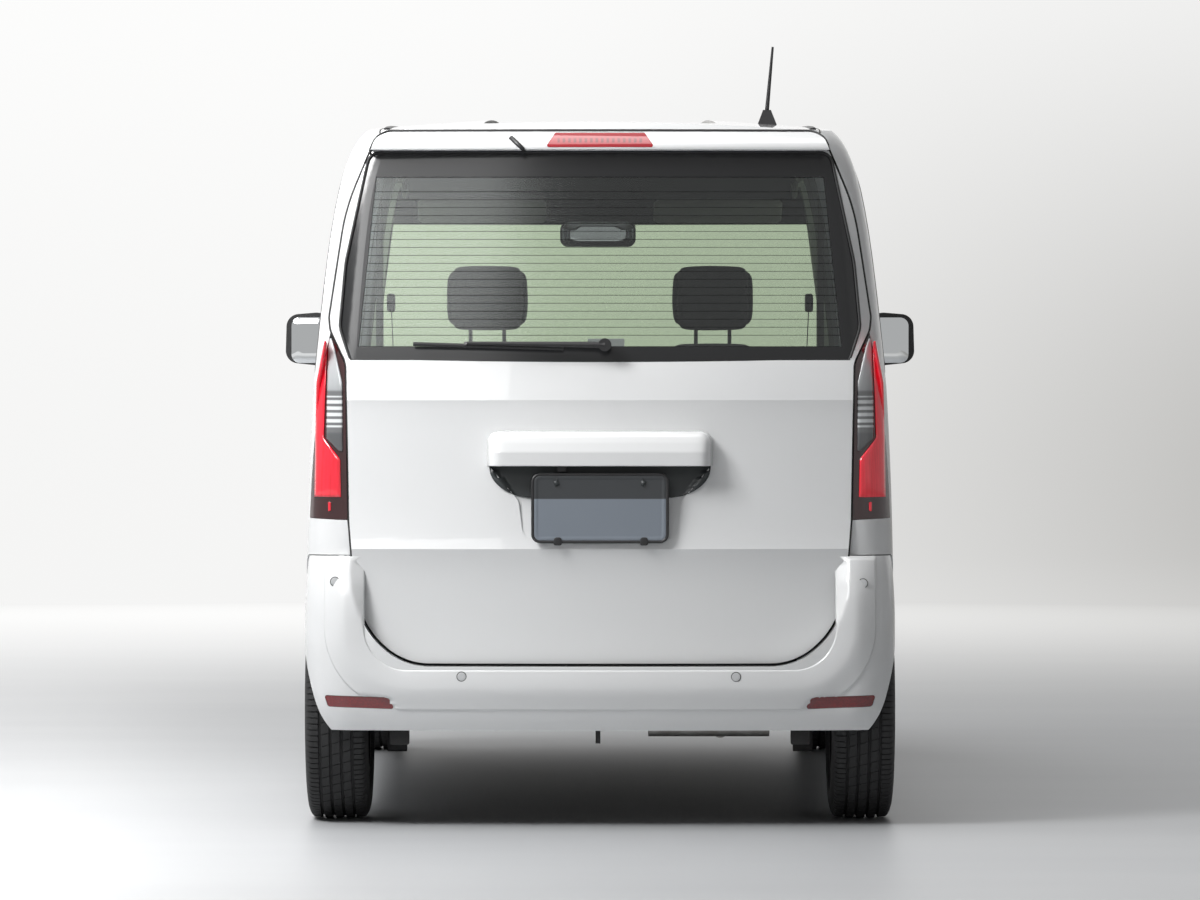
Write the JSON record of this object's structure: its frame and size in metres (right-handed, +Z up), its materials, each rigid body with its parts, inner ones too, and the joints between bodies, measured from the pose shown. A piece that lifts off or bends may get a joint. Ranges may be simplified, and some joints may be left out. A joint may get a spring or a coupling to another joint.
{
  "type": "tall-wagon kei car",
  "caption": "Tall-wagon kei car with a full-width tailgate, sliding rear doors, hinged front doors and hood, four road wheels, steering and a furnished cabin.",
  "frame": {"origin": "on the ground under the middle of the body", "axes": "+Y forward, +X to the car's right, +Z up"},
  "size_m": [1.788, 3.398, 1.9436],
  "materials": {
    "body_paint": "pearl gloss",
    "glass": "clear tinted",
    "dark_glass": "privacy tint",
    "black_plastic": "grained",
    "steel": "machined and plain",
    "underbody": "black sealer",
    "lamp_clear": "clear lens",
    "lamp_red": "red lens",
    "plate": "blank sheet",
    "trim": "soft grain",
    "seat_fabric": "woven",
    "engine": null,
    "tyre": "matt",
    "wheel_cover": "silver"
  },
  "bodies": {
    "car": {"body_side_right": "body_paint", "body_side_left": "body_paint", "roof_panel": "body_paint", "front_fenders": "body_paint", "front_bumper": "body_paint", "grille": "black_plastic", "headlamps": "lamp_clear", "rear_bumper": "body_paint", "tail_lamps": "lamp_red", "sliding_door_right": "body_paint", "sliding_door_left": "body_paint", "body_glass": "glass", "floor_pan": "underbody", "load_floor": "underbody", "rear_wheelhouse_right": "underbody", "rear_wheelhouse_left": "underbody", "front_structure": "underbody", "dashboard": "trim", "front_seats": "seat_fabric", "rear_seat": "seat_fabric", "interior_mirror": "black_plastic", "front_subframe": "underbody", "engine_block": "engine", "drive_shafts": "steel", "rear_axle": "underbody", "fuel_tank": "black_plastic", "exhaust": "steel", "antenna": "black_plastic", "windscreen_wipers": "black_plastic"},
    "tailgate": {"tailgate": "body_paint", "tailgate_glass": "dark_glass", "plate_garnish": "body_paint", "stop_lamp": "lamp_red", "licence_plate": "plate", "rear_wiper": "black_plastic"},
    "hood": {"hood": "body_paint"},
    "front_door_right": {"front_door_right": "body_paint", "front_door_glass_right": "glass", "door_mirror_right": "black_plastic"},
    "front_door_left": {"front_door_left": "body_paint", "front_door_glass_left": "glass", "door_mirror_left": "black_plastic"},
    "steering_wheel": {"steering_wheel": "black_plastic"},
    "steering_rack": {"steering_rack": "steel"},
    "front_knuckle_right": {"front_knuckle_right": "steel"},
    "front_knuckle_left": {"front_knuckle_left": "steel"},
    "wheel_front_left": {"wheel_front_left": "wheel_cover", "tyre_front_left": "tyre"},
    "wheel_front_right": {"wheel_front_right": "wheel_cover", "tyre_front_right": "tyre"},
    "wheel_rear_left": {"wheel_rear_left": "wheel_cover", "tyre_rear_left": "tyre"},
    "wheel_rear_right": {"wheel_rear_right": "wheel_cover", "tyre_rear_right": "tyre"}
  },
  "joints": [
    {"name": "tailgate_hinge", "type": "hinge", "parent": "car", "child": "tailgate", "pos_m": [0, -1.5325, 1.7185], "axis": [-1, 0, 0], "range_deg": [0, 82]},
    {"name": "hood_hinge", "type": "hinge", "parent": "car", "child": "hood", "pos_m": [0, 1.066, 1.075], "axis": [1, 0, 0], "range_deg": [0, 50]},
    {"name": "front_door_right_hinge", "type": "hinge", "parent": "car", "child": "front_door_right", "pos_m": [0.7375, 0.82, 0.7], "axis": [0, 0, 1], "range_deg": [0, 65]},
    {"name": "front_door_left_hinge", "type": "hinge", "parent": "car", "child": "front_door_left", "pos_m": [-0.7375, 0.82, 0.7], "axis": [0, 0, -1], "range_deg": [0, 65]},
    {"name": "steering_wheel_turn", "type": "hinge", "parent": "car", "child": "steering_wheel", "pos_m": [0.302, 0.40304, 0.98758], "axis": [0, -0.8829, 0.4695], "range_deg": [-540, 540]},
    {"name": "steering_rack_slide", "type": "slide", "parent": "car", "child": "steering_rack", "axis": [1, 0, 0], "range_m": [-0.062, 0.062]},
    {"name": "front_knuckle_right_steer", "type": "hinge", "parent": "car", "child": "front_knuckle_right", "pos_m": [0.585, 1.2175, 0.1805], "axis": [-0.1359, 0, 0.9907], "range_deg": [-34.1, 34.1]},
    {"name": "front_knuckle_left_steer", "type": "hinge", "parent": "car", "child": "front_knuckle_left", "pos_m": [-0.585, 1.2175, 0.1805], "axis": [0.1359, 0, 0.9907], "range_deg": [-34.1, 34.1]},
    {"name": "wheel_front_left_spin", "type": "hinge", "parent": "front_knuckle_left", "child": "wheel_front_left", "pos_m": [-0.6525, 1.2175, 0.2785], "axis": [-1, 0, 0], "continuous": true},
    {"name": "wheel_rear_left_spin", "type": "hinge", "parent": "car", "child": "wheel_rear_left", "pos_m": [-0.6525, -1.3025, 0.2785], "axis": [-1, 0, 0], "continuous": true},
    {"name": "wheel_front_right_spin", "type": "hinge", "parent": "front_knuckle_right", "child": "wheel_front_right", "pos_m": [0.6525, 1.2175, 0.2785], "axis": [-1, 0, 0], "continuous": true},
    {"name": "wheel_rear_right_spin", "type": "hinge", "parent": "car", "child": "wheel_rear_right", "pos_m": [0.6525, -1.3025, 0.2785], "axis": [-1, 0, 0], "continuous": true}
  ],
  "couplings": [
    {"joint": "front_knuckle_right_steer", "follows": "steering_wheel_turn", "ratio": 0.062963},
    {"joint": "front_knuckle_left_steer", "follows": "steering_wheel_turn", "ratio": 0.062963},
    {"joint": "steering_rack_slide", "follows": "steering_wheel_turn", "m_per_rad": 0.006527}
  ]
}
